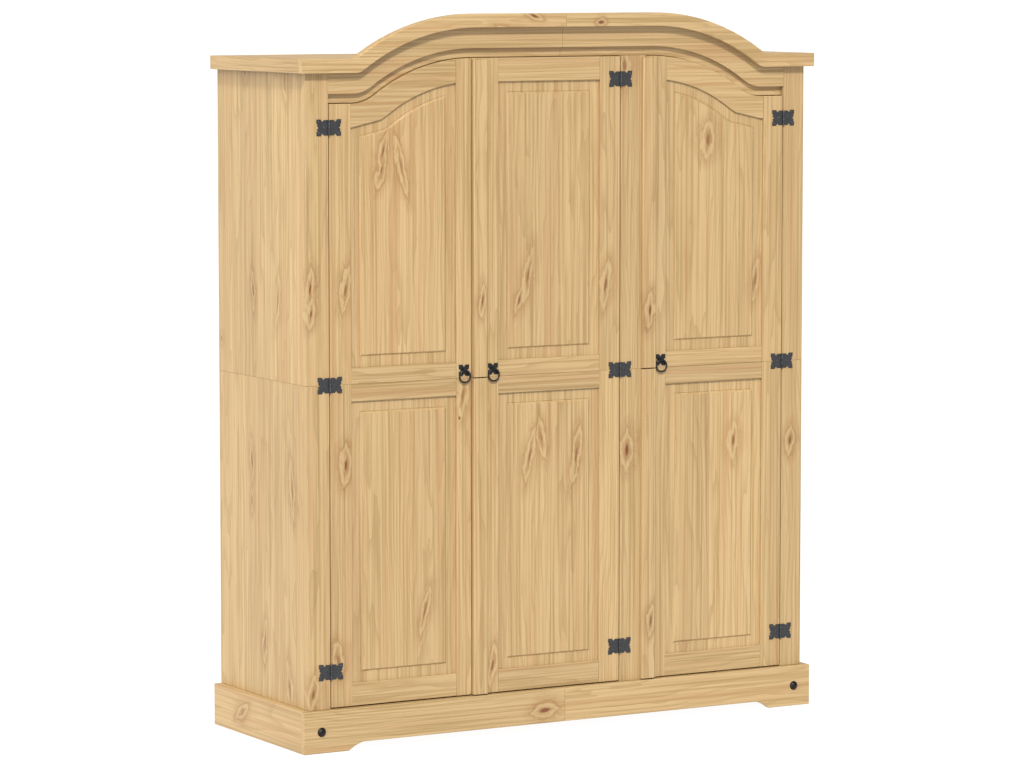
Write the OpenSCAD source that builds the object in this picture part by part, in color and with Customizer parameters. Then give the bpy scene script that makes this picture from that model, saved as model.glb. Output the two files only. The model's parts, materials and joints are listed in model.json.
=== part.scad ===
// Three-door arched pine armoire, shown closed.
// Origin: middle of the footprint, on the floor. +X right, +Y to the back, +Z up.

/* [Overall] */
// Width over the plinth and the cornice
width = 1510; // [1250:5:1820]
// Depth from the front of the plinth to the back
depth = 512; // [420:2:620]
// Height of the cornice's flat top
cornice_top = 1732; // [1440:1:2080]
// Height of the seam between the lower and upper halves
seam_h = 922; // [760:1:1110]

/* [Plinth] */
// Height of the plinth boards
plinth_h = 107; // [85:1:130]
// Thickness of the front boards, which is also how far the carcass stands back
plinth_front_t = 16; // [12:1:22]
// Thickness of the side boards and of the back rail
plinth_side_t = 20; // [14:1:26]
// Length of the foot left at each end of the front
foot_l = 127; // [90:1:180]
// Height of the cut-out between the feet
cutout_h = 20; // [12:1:28]
// Radius of the hollow curve from each foot up to the cut-out
curve_r = 100; // [60:5:140]
// How much of that curve's crown the straight edge cuts off
curve_crop = 2.5; // [1:0.5:6]
// Diameter of the domed studs
stud_d = 24; // [16:1:32]
// How far a stud stands out
stud_h = 8; // [5:1:11]
// Distance of a stud from the plinth's end
stud_inset = 50; // [30:1:80]
// Height of a stud above the floor
stud_z = 54; // [30:1:80]

/* [Carcass] */
// Thickness of the side panels
side_t = 20; // [15:1:26]
// Width of the front stiles at both ends
frame_stile_w = 63; // [45:1:80]
// Width of the post between the second and third doors
post_w = 76; // [60:1:95]
// Thickness of the front stiles and the post
frame_t = 20; // [16:1:26]
// Thickness of the floor board
floor_t = 18; // [12:1:24]
// Thickness of the roof board
roof_t = 18; // [12:1:24]
// Thickness of the upright partition
partition_t = 18; // [12:1:24]
// Thickness of the back panels
back_t = 8; // [4:1:12]
// How far the back panels stand in from the back edges
back_inset = 4; // [0:1:12]

/* [Cornice and arch] */
// Height of the cornice band, also the width of the arched fascia
fascia_w = 35; // [25:1:45]
// Thickness of the fascia and of the side returns
fascia_t = 20; // [14:1:26]
// Length of the flat end beside the arch
wing_l = 153; // [110:1:190]
// Rise of the arch above the flat ends
arch_rise = 109; // [80:1:130]
// Radius of the arch's shoulders
arch_r = 580; // [470:5:700]
// Visible width of the rail below the fascia
arch_rail_w = 52; // [40:1:62]
// Thickness of that rail
arch_rail_t = 13; // [8:1:18]
// Visible width of the stop below the rail
arch_stop_w = 23; // [16:1:30]
// Thickness of the stop
arch_stop_t = 18; // [12:1:24]
// Depth of the stop's hidden top edge below the arch's top; beside the arch it ends at the roof
arch_stop_top = 42; // [36:1:60]
// Joint between the two halves of the fascia, the rail, the stop and the plinth
butt_gap = 0.3; // [0.2:0.1:0.8]

/* [Doors] */
// Thickness of the door frames
door_t = 20; // [16:1:24]
// Gap beside each door
door_gap = 2.5; // [2:0.1:4]
// Gap between a door and the arch over it
door_top_gap = 1.5; // [1.5:0.1:4]
// Gap between a door and the plinth's top
door_foot_gap = 3; // [2:0.1:5]
// Width of the door stiles
door_stile_w = 60; // [45:1:75]
// Width of the arched top rail
top_rail_w = 60; // [45:1:75]
// Width of the rail just above the seam
upper_foot_rail_w = 41; // [30:1:55]
// Width of the rail just below the seam
lower_head_rail_w = 44; // [30:1:55]
// Width of the rail at the foot of the door
foot_rail_w = 58; // [45:1:75]
// Rise, over 100 mm, of the slanted line at the outer end of the arched opening
kick_slope = 22; // [12:1:30]

/* [Door panels] */
// Depth of the panel's margin behind the door's face
panel_recess = 6; // [4:0.5:8]
// Depth of the raised field behind the door's face
field_recess = 2.5; // [1:0.5:3.5]
// Width of the margin around the field
field_margin = 29; // [20:1:38]
// Thickness of the panel's edge
panel_t = 6; // [5:0.5:8]
// Depth of the groove that holds the panel
groove_d = 8; // [5:1:12]

/* [Meeting strips] */
// Width of the strips
strip_w = 42; // [34:1:50]
// How far the strips stand out
strip_t = 10; // [7:1:13]
// How far a strip reaches past its door's own stile
strip_lap = 17; // [10:1:22]
// Rounding of a strip's front edges
strip_round = 4; // [2:0.5:5]
// Gap between the halves of a strip
strip_gap = 3; // [2:0.5:5]
// Clearance between a strip and the post behind it
strip_clear = 0.5; // [0.3:0.1:1]
// How far a strip stops short of its door's head
strip_short = 4; // [2:1:10]

/* [Hinges] */
// Length of a leaf from the pin
leaf_l = 34; // [28:1:40]
// Height of a leaf
leaf_h = 41; // [34:1:48]
// Thickness of the leaves
leaf_t = 1.6; // [1.2:0.1:2]
// Depth of the notches cut into a leaf's edges
leaf_notch = 5; // [3:0.5:6]
// How much shorter the row of knuckles is than a leaf
barrel_short = 3; // [1:0.5:5]
// Outer radius of the knuckles
knuckle_r = 3; // [2.6:0.1:3.6]
// Gap between neighbouring knuckles
knuckle_gap = 0.4; // [0.3:0.1:0.8]
// Clearance between the knuckles and the wood
knuckle_clear = 0.2; // [0.1:0.1:0.6]
// Radius of the hinge pins
pin_r = 1.5; // [1.2:0.1:1.8]
// Radial clearance of a pin in its knuckles
pin_clear = 0.05; // [0.03:0.01:0.08]
// Distance of the lowest hinge's middle from the door's foot
hinge_from_foot = 91; // [70:1:120]
// Distance of the highest hinge's middle from the door's head
hinge_from_head = 58; // [45:1:80]

/* [Ring pulls] */
// Side of the notched plate
plate_w = 29; // [24:1:34]
// Thickness of the plate
plate_t = 1.6; // [1.2:0.1:2.2]
// Depth of the notches cut into the plate's edges
plate_notch = 6; // [4:0.5:7]
// Width of those notches at the plate's edge
plate_notch_w = 9.3; // [7:0.1:11]
// Height of the plate's middle above the seam
pull_above_seam = 20; // [16:1:26]
// Radius of the ring at the middle of its wire
ring_r = 15.3; // [13:0.1:18]
// Radius of the ring's wire
wire_r = 2.2; // [1.8:0.1:2.6]
// Thickness of the eye along the hinge line
eye_t = 4; // [3:0.5:5]
// Wall of the eye around the wire
eye_wall = 1.8; // [1.4:0.1:2.4]
// Clearance of the wire in the eye
wire_clear = 0.4; // [0.3:0.1:0.6]
// Gap between the hanging ring and its plate
ring_gap = 2.4; // [1.8:0.1:4]
// Least gap between a ring and the strip that stands beside it
ring_side_gap = 0.5; // [0.3:0.1:3]

/* [Interior] */
// Height of the hat shelf's top above the floor board
hat_shelf_h = 1293; // [1050:1:1500]
// Thickness of the shelves
shelf_t = 18; // [14:1:24]
// Distance of the shelves' front edge from the doors' backs
shelf_setback = 30; // [16:1:60]
// Number of shelves behind the third door
shelf_count = 3; // [2:1:4]
// Height and thickness of the shelf cleats
cleat_w = 20; // [14:1:28]
// Diameter of the hanging rail
rail_d = 25; // [19:1:30]
// Distance of the hanging rail's middle below the hat shelf
rail_drop = 55; // [45:1:75]
// Wall of the hanging rail's sockets
socket_wall = 6; // [4:1:9]
// Length of the hanging rail's sockets
socket_l = 14; // [10:1:20]
// Clearance of the hanging rail in its sockets
rail_clear = 0.3; // [0.2:0.1:0.6]
// Width of the door stops
stop_w = 22; // [16:1:30]
// Length of the door stops from front to back
stop_l = 60; // [44:1:90]
// Gap between a closed door and its stop
stop_gap = 0.4; // [0.3:0.1:1]
// Thickness of the battens that join the halves of a door
batten_t = 10; // [6:1:14]
// Height of those battens
batten_h = 60; // [40:1:76]

/* [Hidden] */
DOORS = ["left", "middle", "right"];
DOOR_PIECES = ["stiles_upper", "stiles_lower", "rails_upper", "rails_lower", "panel_upper",
    "panel_lower", "seam_batten", "hinge_leaves", "pull_plate", "ring"];
CABINET_PIECES = ["plinth_front_left", "plinth_front_right", "plinth_sides", "plinth_back",
    "plinth_studs", "floor_board", "roof_board", "sides_lower", "sides_upper",
    "frame_stiles_lower", "frame_stiles_upper", "partition", "back_lower", "back_upper",
    "arch_fascia_left", "arch_fascia_right", "arch_rails", "arch_stops", "cornice_returns",
    "hat_shelf", "hanging_rail", "rail_sockets", "side_shelves", "shelf_cleats", "door_stops",
    "hinge_frame_leaves", "hinge_pins", "middle_strip", "right_strip"];

// Colours
pine = "#dcbd8a";
pine_panel = "#e0c592";
ply = "#cfae7c";
iron = "#3c3c3e";
steel = "#a9abad";

// Planes from front to back
y_plinth = -(depth - stud_h) / 2;
y_back = y_plinth + depth;
y_face = y_plinth + plinth_front_t;
y_frame_back = y_face + frame_t;
y_door_back = y_face + door_t;
y_arch_stop = y_face + arch_rail_t;
y_arch_back = y_arch_stop + arch_stop_t;
y_back_panel = y_back - back_inset - back_t;
y_shelf = y_door_back + shelf_setback;
y_pin = y_face - knuckle_r - knuckle_clear;
y_ring = y_face - plate_t - ring_gap - wire_r;

// Lines from left to right; the three equal door cells are cut to hundredths
x_end = width / 2;
x_side = x_end - plinth_side_t;
x_inner = x_side - side_t;
x_opening = x_side - frame_stile_w;
cell_w = round(100 * (2 * x_opening - post_w) / 3) / 100;
x_post = x_opening - cell_w - post_w / 2;
x_meeting = -x_opening + cell_w;
x_partition = x_post - partition_t / 2;

// Heights
z_roof = cornice_top - roof_t;
z_door = plinth_h + door_foot_gap;
z_hat = plinth_h + hat_shelf_h;
z_rail = z_hat - shelf_t - rail_drop;
z_pull = seam_h + pull_above_seam;
z_crown = cornice_top + arch_rise;

// The arch: half length of its flat crown and the drops of its parallel lines
x_wing = x_end - wing_l;
x_crown = x_wing - sqrt(arch_r * arch_r - (arch_r - arch_rise) * (arch_r - arch_rise));
z_centre = z_crown - arch_r;
drop_rail = fascia_w + arch_rail_w;
drop_stop = drop_rail + arch_stop_w;
drop_door = drop_stop + door_top_gap;
drop_opening = drop_door + top_rail_w;
drop_field = drop_opening + field_margin;

// Edges of each door: hinge pin, hinge edge and free edge, as x from the centre
hinge_side = [-1, 1, 1];
x_pin = [-x_opening + door_gap / 2, x_post - post_w / 2 - door_gap / 2, x_opening - door_gap / 2];
strip_left = [x_meeting + door_gap / 2 - strip_lap, x_post + post_w / 2 + door_gap - strip_lap];
door_lo = [-x_opening + door_gap, strip_left[0], x_post + post_w / 2 + door_gap];
door_hi = [strip_left[0] - door_gap, x_pin[1] - door_gap / 2, x_pin[2] - door_gap / 2];
open_lo = [door_lo[0] + door_stile_w, strip_left[0] + strip_lap + door_stile_w,
    door_lo[2] + door_stile_w];
open_hi = [x_meeting - door_gap / 2 - door_stile_w, door_hi[1] - door_stile_w,
    door_hi[2] - door_stile_w];
ring_reach = ring_r + wire_r + ring_side_gap;
x_pull = [(open_hi[0] + door_hi[0]) / 2, pull_beside_strip(0, 1), pull_beside_strip(1, 2)];
hinge_z = [for (d = [0 : 2]) [z_door + hinge_from_foot, seam_h,
    arch_z(x_pin[d], drop_door) - hinge_from_head]];
shelf_z = [for (k = [1 : shelf_count]) plinth_h + k * hat_shelf_h / shelf_count];

// Hinge knuckles, and half a leaf's outline: above the middle, from the pin outwards
barrel_l = leaf_h - barrel_short;
knuckle_l = (barrel_l - 4 * knuckle_gap) / 5;
leaf_edge = [[0, barrel_l / 2], [0.4 * leaf_l, barrel_l / 2],
    [0.53 * leaf_l, barrel_l / 2 - leaf_notch], [0.66 * leaf_l, leaf_h / 2], [leaf_l, leaf_h / 2],
    [leaf_l, 0.26 * leaf_h], [leaf_l - 0.6 * leaf_notch, 0.2 * leaf_h],
    [leaf_l - 0.3 * leaf_notch, 0.1 * leaf_h], [leaf_l - 1.2 * leaf_notch, 0]];

// Eye of a ring pull, and half the height of the web that joins it to its plate
eye_r = wire_r + wire_clear + eye_wall;
eye_web = 0.8 * eye_r;

// A hair's breadth for cuts that must overlap, and a length beyond every part
eps = 0.01;
far = 3 * cornice_top;

// Height of the line that runs a drop below the arch's top, at x
function arch_z(x, drop) =
    let (u = abs(x), t = tangent_x(drop))
    u <= x_crown ? z_crown - drop
    : u <= t ? z_centre + sqrt((arch_r - drop) * (arch_r - drop) - (u - x_crown) * (u - x_crown))
    : u < x_wing ? cornice_top - sqrt(drop * drop - (x_wing - u) * (x_wing - u))
    : cornice_top - drop;

// Where the shoulder of such a line meets the hollow curve at the wing
function tangent_x(drop) = x_wing - drop * (x_wing - x_crown) / arch_r;

// Everything from the floor up to the line a drop below the arch's top, in the x-z plane
module under_arch(drop) {
    t = tangent_x(drop);
    translate([-x_end, 0]) square([width, cornice_top - drop]);
    translate([-x_crown, 0]) square([2 * x_crown, z_crown - drop]);
    for (side = [0, 1]) mirror([side, 0]) {
        intersection() {
            translate([x_crown, z_centre]) circle(arch_r - drop, $fn = 180);
            translate([x_crown - eps, z_centre]) square([t - x_crown + eps, arch_r]);
        }
        difference() {
            translate([x_crown, 0]) square([x_wing - x_crown, arch_z(t, drop)]);
            translate([x_wing, cornice_top]) circle(drop, $fn = 180);
        }
    }
}

// A flat board drawn in the x-z plane, from y = front, t thick
module upright_board(front, t) {
    translate([0, front + t, 0]) rotate([90, 0, 0]) linear_extrude(t) children();
}

// A box given by its two corners
module box(lo, hi) {
    translate(lo) cube(hi - lo);
}

// A piece and its mirror image across the middle
module both_sides() {
    children();
    mirror([1, 0, 0]) children();
}

// The right half of the band between two arch lines, out to x = reach
module half_band(top_drop, foot_drop, reach) {
    intersection() {
        difference() {
            under_arch(top_drop);
            under_arch(foot_drop);
        }
        translate([butt_gap / 2, 0]) square([reach - butt_gap / 2, far]);
    }
}

// What is drawn for the right, at its own side: -1 is the left
module at_side(side) {
    mirror([side < 0 ? 1 : 0, 0, 0]) children();
}

// Plinth

module plinth_front(side) {
    color(pine) at_side(side) upright_board(y_plinth, plinth_front_t) difference() {
        translate([butt_gap / 2, 0]) square([x_end - butt_gap / 2, plinth_h]);
        half_cutout();
    }
}

// The right half of the cut-out, whose end rises from the foot in a hollow curve
module half_cutout() {
    crown_z = cutout_h + curve_crop;
    x_crown = x_end - foot_l - sqrt(curve_r * curve_r - (curve_r - crown_z) * (curve_r - crown_z));
    intersection() {
        translate([-1, -1]) square([x_end, cutout_h + 1]);
        union() {
            translate([-2, -2]) square([x_crown + 2, cutout_h + 4]);
            translate([x_crown, crown_z - curve_r]) circle(curve_r, $fn = 180);
        }
    }
}

module plinth_sides() {
    color(pine) both_sides() box([x_side, y_face, 0], [x_end, y_back, plinth_h]);
}

module plinth_back() {
    color(pine) box([-x_side, y_back - plinth_side_t, 0], [x_side, y_back, plinth_h - floor_t]);
}

module plinth_studs() {
    dome_r = (stud_d * stud_d / 4 + stud_h * stud_h) / (2 * stud_h);
    color(iron) both_sides() translate([x_end - stud_inset, y_plinth, stud_z]) rotate([90, 0, 0])
        intersection() {
            translate([0, 0, stud_h - dome_r]) sphere(dome_r, $fn = 48);
            cylinder(h = stud_h + 1, d = 2 * stud_d, $fn = 48);
        }
}

// Carcass

module floor_board() {
    color(pine) box([-x_side, y_face, plinth_h - floor_t], [x_side, y_back, plinth_h]);
}

module roof_board() {
    color(pine) difference() {
        box([-x_side, y_face, z_roof], [x_side, y_back, cornice_top]);
        box([-x_opening, y_face - 1, z_roof - 1], [x_opening, y_arch_back, cornice_top + 1]);
    }
}

module sides(z_lo, z_hi) {
    color(pine) both_sides() box([x_inner, y_frame_back, z_lo], [x_side, y_back, z_hi]);
}

module frame_stiles(z_lo, z_hi) {
    color(pine) both_sides() box([x_opening, y_face, z_lo], [x_side, y_frame_back, z_hi]);
    color(pine) upright_board(y_face, frame_t) intersection() {
        translate([x_post - post_w / 2, z_lo]) square([post_w, arch_z(0, drop_stop) - z_lo]);
        translate([-x_end, 0]) square([width, z_hi == z_roof ? far : z_hi]);
        under_arch(drop_stop);
    }
}

module partition() {
    color(pine) box([x_partition, y_frame_back, plinth_h],
        [x_partition + partition_t, y_back_panel, z_roof]);
}

module back_panel(z_lo, z_hi) {
    color(ply) box([-x_inner, y_back_panel, z_lo], [x_inner, y_back_panel + back_t, z_hi]);
}

// Cornice and arch

module arch_fascia(side) {
    color(pine) at_side(side) upright_board(y_face - fascia_t, fascia_t)
        half_band(0, fascia_w, x_end);
}

module arch_rails() {
    color(pine) both_sides() upright_board(y_face, arch_rail_t)
        half_band(0, drop_rail, x_opening);
}

module arch_stops() {
    color(pine) both_sides() upright_board(y_arch_stop, arch_stop_t) {
        half_band(arch_stop_top, drop_stop, x_opening);
        intersection() {
            half_band(0, drop_stop, x_opening);
            translate([-x_end, 0]) square([width, cornice_top]);
        }
    }
}

module cornice_returns() {
    color(pine) both_sides()
        box([x_side, y_face, cornice_top - fascia_w], [x_end, y_back, cornice_top]);
}

// Interior

module hat_shelf() {
    color(pine) box([-x_inner, y_shelf, z_hat - shelf_t], [x_partition, y_back_panel, z_hat]);
}

module side_shelves() {
    color(pine) for (z = shelf_z)
        box([x_partition + partition_t, y_shelf, z - shelf_t], [x_inner, y_back_panel, z]);
}

// Two cleats under the ends of a shelf between x = lo and x = hi, whose underside is at z
module cleat_pair(lo, hi, z) {
    for (x = [lo, hi - cleat_w])
        box([x, y_shelf + cleat_w, z - cleat_w], [x + cleat_w, y_back_panel, z]);
}

module shelf_cleats() {
    color(pine) {
        cleat_pair(-x_inner, x_partition, z_hat - shelf_t);
        for (z = shelf_z) cleat_pair(x_partition + partition_t, x_inner, z - shelf_t);
    }
}

// A cylinder along X from x = lo to x = hi on the hanging rail's line
module on_rail(lo, hi, r) {
    translate([lo, (y_shelf + y_back_panel) / 2, z_rail]) rotate([0, 90, 0])
        cylinder(h = hi - lo, r = r, $fn = 64);
}

module hanging_rail() {
    color(steel) on_rail(-x_inner, x_partition, rail_d / 2);
}

module rail_sockets() {
    bore = rail_d / 2 + rail_clear;
    color(iron) for (x = [-x_inner, x_partition - socket_l]) difference() {
        on_rail(x, x + socket_l, bore + socket_wall);
        on_rail(x - 1, x + socket_l + 1, bore);
    }
}

module door_stops() {
    x_stops = [door_hi[0] - 2 * stop_w, door_lo[1] + stop_w, door_lo[2] + stop_w];
    color(pine) for (x = x_stops)
        box([x, y_door_back + stop_gap, z_hat - shelf_t - cleat_w],
            [x + stop_w, y_door_back + stop_gap + stop_l, z_hat - shelf_t]);
}

// Where a pull stands on door d: in the middle of the stile that strip k leaves, clear of the strip
function pull_beside_strip(k, d) =
    let (edge = strip_left[k] + strip_w) max((edge + open_lo[d]) / 2, edge + ring_reach);

// Doors: d is 0 for the left, 1 for the middle and 2 for the right

// The face of one half of a door
module door_face(d, upper) {
    intersection() {
        translate([door_lo[d], upper ? seam_h : z_door])
            square([door_hi[d] - door_lo[d], upper ? far : seam_h - z_door]);
        under_arch(drop_door);
    }
}

// The opening for a panel, with every edge moved out by grow
module opening(d, upper, grow) {
    lo = upper ? seam_h + upper_foot_rail_w : z_door + foot_rail_w;
    hi = upper ? far : seam_h - lower_head_rail_w;
    outer = d == 0 ? open_lo[0] : open_hi[2];
    reach = open_hi[0] - open_lo[0];
    kick_z = arch_z(outer, drop_opening) + grow;
    intersection() {
        translate([open_lo[d] - grow, lo - grow])
            square([open_hi[d] - open_lo[d] + 2 * grow, hi - lo + 2 * grow]);
        union() {
            under_arch(drop_opening - grow);
            if (d != 1) translate([outer, 0]) mirror([d == 0 ? 0 : 1, 0]) polygon([[-grow, 0],
                [reach, 0], [reach, kick_z + reach * kick_slope / 100],
                [-grow, kick_z - grow * kick_slope / 100]]);
        }
    }
}

// The space that a panel's edge and its groove share
module panel_plate(d, upper) {
    upright_board(y_face + panel_recess, panel_t) opening(d, upper, groove_d);
}

module door_stiles(d, upper) {
    color(pine) difference() {
        upright_board(y_face, door_t) difference() {
            door_face(d, upper);
            translate([open_lo[d], 0]) square([open_hi[d] - open_lo[d], far]);
        }
        panel_plate(d, upper);
    }
}

module door_rails(d, upper) {
    color(pine) difference() {
        upright_board(y_face, door_t) difference() {
            intersection() {
                door_face(d, upper);
                translate([open_lo[d], 0]) square([open_hi[d] - open_lo[d], far]);
            }
            opening(d, upper, 0);
        }
        panel_plate(d, upper);
    }
}

module door_panel(d, upper) {
    color(pine_panel) {
        panel_plate(d, upper);
        upright_board(y_face + field_recess, panel_recess - field_recess + eps)
            opening(d, upper, -field_margin);
    }
}

module seam_batten(d) {
    color(pine) box([door_lo[d] + door_stile_w / 2, y_door_back, seam_h - batten_h / 2],
        [door_hi[d] - door_stile_w / 2, y_door_back + batten_t, seam_h + batten_h / 2]);
}

// A strip's section seen from above, from its left edge, with the wood behind it at y = 0
module strip_section(clear_l) {
    difference() {
        union() {
            translate([strip_round, -strip_t]) square([strip_w - 2 * strip_round, strip_t]);
            translate([0, strip_round - strip_t]) square([strip_w, strip_t - strip_round]);
            for (x = [strip_round, strip_w - strip_round])
                translate([x, strip_round - strip_t]) circle(strip_round, $fn = 32);
        }
        translate([-1, -strip_clear]) square([clear_l + 1, strip_clear + 1]);
    }
}

// Both halves of the strip on the middle door, k = 0, or the right door, k = 1
module meeting_strip(k) {
    clear_l = k == 0 ? 0 : strip_lap + eps;
    color(pine) intersection() {
        for (z = [[z_door, seam_h - strip_gap / 2], [seam_h + strip_gap / 2, far]])
            translate([strip_left[k], y_face, z[0]]) linear_extrude(z[1] - z[0])
                strip_section(clear_l);
        upright_board(y_face - 2 * strip_t, 3 * strip_t) under_arch(drop_door + strip_short);
    }
}

// Hinges

// One leaf beside the pin's line, towards +X; own lists the knuckles that it carries
module leaf(own, bore) {
    outline = concat(leaf_edge, [for (k = [len(leaf_edge) - 2 : -1 : 0])
        [leaf_edge[k][0], -leaf_edge[k][1]]]);
    difference() {
        union() {
            difference() {
                upright_board(y_face - leaf_t, leaf_t) polygon(outline);
                on_pin(-leaf_h / 2, leaf_h / 2, knuckle_r + knuckle_gap);
            }
            for (k = own) {
                z = -barrel_l / 2 + k * (knuckle_l + knuckle_gap);
                on_pin(z, z + knuckle_l, knuckle_r);
                box([0, y_face - leaf_t, z], [knuckle_r + 2 * knuckle_gap, y_face, z + knuckle_l]);
            }
        }
        on_pin(-leaf_h, leaf_h, bore);
    }
}

// A cylinder on the pin's line between two heights
module on_pin(lo, hi, r) {
    translate([0, y_pin, lo]) cylinder(h = hi - lo, r = r, $fn = 48);
}

module hinge_leaves(d) {
    color(iron) for (z = hinge_z[d]) translate([x_pin[d], 0, z])
        at_side(-hinge_side[d]) leaf([1, 3], pin_r + pin_clear);
}

module hinge_frame_leaves() {
    color(iron) for (d = [0 : 2], z = hinge_z[d]) translate([x_pin[d], 0, z])
        at_side(hinge_side[d]) leaf([0, 2, 4], pin_r);
}

module hinge_pins() {
    color(iron) for (d = [0 : 2], z = hinge_z[d]) translate([x_pin[d], 0, z])
        on_pin(-barrel_l / 2, barrel_l / 2, pin_r);
}

// Ring pulls

// A cylinder along X through the eye of door d's pull
module in_eye(d, l, r) {
    translate([x_pull[d] - l / 2, y_ring, z_pull]) rotate([0, 90, 0])
        cylinder(h = l, r = r, $fn = 48);
}

module pull_plate(d) {
    half = plate_w / 2;
    side = [[half, half], [plate_notch_w / 2, half], [0, half - plate_notch],
        [-plate_notch_w / 2, half]];
    outline = [for (k = [0 : 3], p = side) [p[0] * cos(90 * k) - p[1] * sin(90 * k),
        p[0] * sin(90 * k) + p[1] * cos(90 * k)]];
    color(iron) difference() {
        union() {
            upright_board(y_face - plate_t, plate_t) translate([x_pull[d], z_pull])
                polygon(outline);
            in_eye(d, eye_t, eye_r);
            box([x_pull[d] - eye_t / 2, y_ring, z_pull - eye_web],
                [x_pull[d] + eye_t / 2, y_face - plate_t, z_pull + eye_web]);
        }
        in_eye(d, eye_t + 2, wire_r + wire_clear);
    }
}

module ring(d) {
    color(iron) translate([x_pull[d], y_ring, z_pull - ring_r]) rotate([90, 0, 0])
        rotate_extrude($fn = 96) translate([ring_r, 0]) circle(wire_r, $fn = 32);
}

plinth_front(-1);  // plinth_front_left
plinth_front(1);  // plinth_front_right
plinth_sides();
plinth_back();
plinth_studs();
floor_board();
roof_board();
sides(plinth_h, seam_h);  // sides_lower
sides(seam_h, z_roof);  // sides_upper
frame_stiles(plinth_h, seam_h);  // frame_stiles_lower
frame_stiles(seam_h, z_roof);  // frame_stiles_upper
partition();
back_panel(plinth_h, seam_h);  // back_lower
back_panel(seam_h, z_roof);  // back_upper
arch_fascia(-1);  // arch_fascia_left
arch_fascia(1);  // arch_fascia_right
arch_rails();
arch_stops();
cornice_returns();
hat_shelf();
hanging_rail();
rail_sockets();
side_shelves();
shelf_cleats();
door_stops();
hinge_frame_leaves();
hinge_pins();
meeting_strip(0);  // middle_strip
meeting_strip(1);  // right_strip
for (d = [0 : 2]) {
    door = str(DOORS[d], "_door_");
    door_stiles(d, true);
    door_stiles(d, false);
    door_rails(d, true);
    door_rails(d, false);
    door_panel(d, true);
    door_panel(d, false);
    seam_batten(d);
    hinge_leaves(d);
    pull_plate(d);
    ring(d);
}
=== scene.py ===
"""Three-door arched pine armoire: finishes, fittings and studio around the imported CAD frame.

Lengths in the classes are millimetres and are turned to metres where a mesh or a material is made.
Every piece keeps the frame's axes: X to the right, Y to the back, Z up, the origin on the floor.
"""

import json
import logging
import math
from dataclasses import dataclass, field
from enum import Enum
from typing import Any, Iterable, Sequence

import bmesh
import bpy
from mathutils import Matrix, Vector


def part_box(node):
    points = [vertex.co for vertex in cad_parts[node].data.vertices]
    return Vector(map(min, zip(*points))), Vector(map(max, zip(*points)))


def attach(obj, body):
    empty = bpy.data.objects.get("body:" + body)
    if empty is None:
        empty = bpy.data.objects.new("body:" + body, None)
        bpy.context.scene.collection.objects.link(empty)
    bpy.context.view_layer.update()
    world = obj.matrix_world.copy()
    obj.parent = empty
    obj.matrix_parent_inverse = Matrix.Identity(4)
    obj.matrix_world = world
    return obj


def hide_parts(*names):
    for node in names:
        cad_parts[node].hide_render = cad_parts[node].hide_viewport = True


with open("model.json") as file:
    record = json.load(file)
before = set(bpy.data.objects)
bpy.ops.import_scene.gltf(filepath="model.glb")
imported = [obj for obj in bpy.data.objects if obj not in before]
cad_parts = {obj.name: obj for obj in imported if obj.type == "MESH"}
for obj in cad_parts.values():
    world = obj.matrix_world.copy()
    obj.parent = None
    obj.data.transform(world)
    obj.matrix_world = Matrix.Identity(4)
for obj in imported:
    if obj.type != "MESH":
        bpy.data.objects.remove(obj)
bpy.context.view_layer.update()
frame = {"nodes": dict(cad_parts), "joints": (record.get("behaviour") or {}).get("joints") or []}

LOG = logging.getLogger("armoire")
MM = 0.001
SAME_POINT = 1e-6
DOORS = ("left", "middle", "right")

# Where the doors' hinge pins stand from left to right, and how thick the hinges' leaves are
PIN_LINES = tuple(j["pos_m"][0] / MM for j in frame["joints"] if j["name"].endswith("door_hinge"))
LEAF_THICKNESS = 1.6

Point = tuple[float, float]
Triple = tuple[float, float, float]
Colour = tuple[float, float, float, float]

# A layer of a wood's colour: what drives it, where it starts, where it is full, how much of it there is
# then, and its colour
Layer = tuple[Any, float, float, float, str]


def linear(hex_code: str) -> Colour:
    """Turns an sRGB hex colour into a linear one.

    Args:
        hex_code: The colour as "#rrggbb".

    Returns:
        The linear red, green and blue, with an alpha of 1.
    """
    parts = [int(hex_code[i : i + 2], 16) / 255 for i in (1, 3, 5)]
    r, g, b = (c / 12.92 if c <= 0.04045 else ((c + 0.055) / 1.055) ** 2.4 for c in parts)
    return (r, g, b, 1.0)


def add(
    tree: bpy.types.NodeTree,
    kind: str,
    settings: dict[str, Any] | None = None,
    inputs: dict[int | str, Any] | None = None,
) -> bpy.types.Node:
    """Adds a node with its settings and links.

    Args:
        tree: The node tree that gets the node.
        kind: The node's Blender type.
        settings: Attributes of the node.
        inputs: Socket names or numbers, each with a value or the output socket to link from.

    Returns:
        The new node.
    """
    node = tree.nodes.new(kind)
    for name, value in (settings or {}).items():
        setattr(node, name, value)
    for key, value in (inputs or {}).items():
        if isinstance(value, bpy.types.NodeSocket):
            tree.links.new(value, node.inputs[key])
        else:
            node.inputs[key].default_value = value
    return node


def maths(tree: bpy.types.NodeTree, operation: str, *values: Any) -> bpy.types.NodeSocket:
    """Adds one step of arithmetic.

    Args:
        tree: The node tree that gets it.
        operation: What is done.
        values: Numbers, or the sockets that give them.

    Returns:
        The socket of the result.
    """
    return add(tree, "ShaderNodeMath", {"operation": operation}, dict(enumerate(values))).outputs[0]


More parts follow.
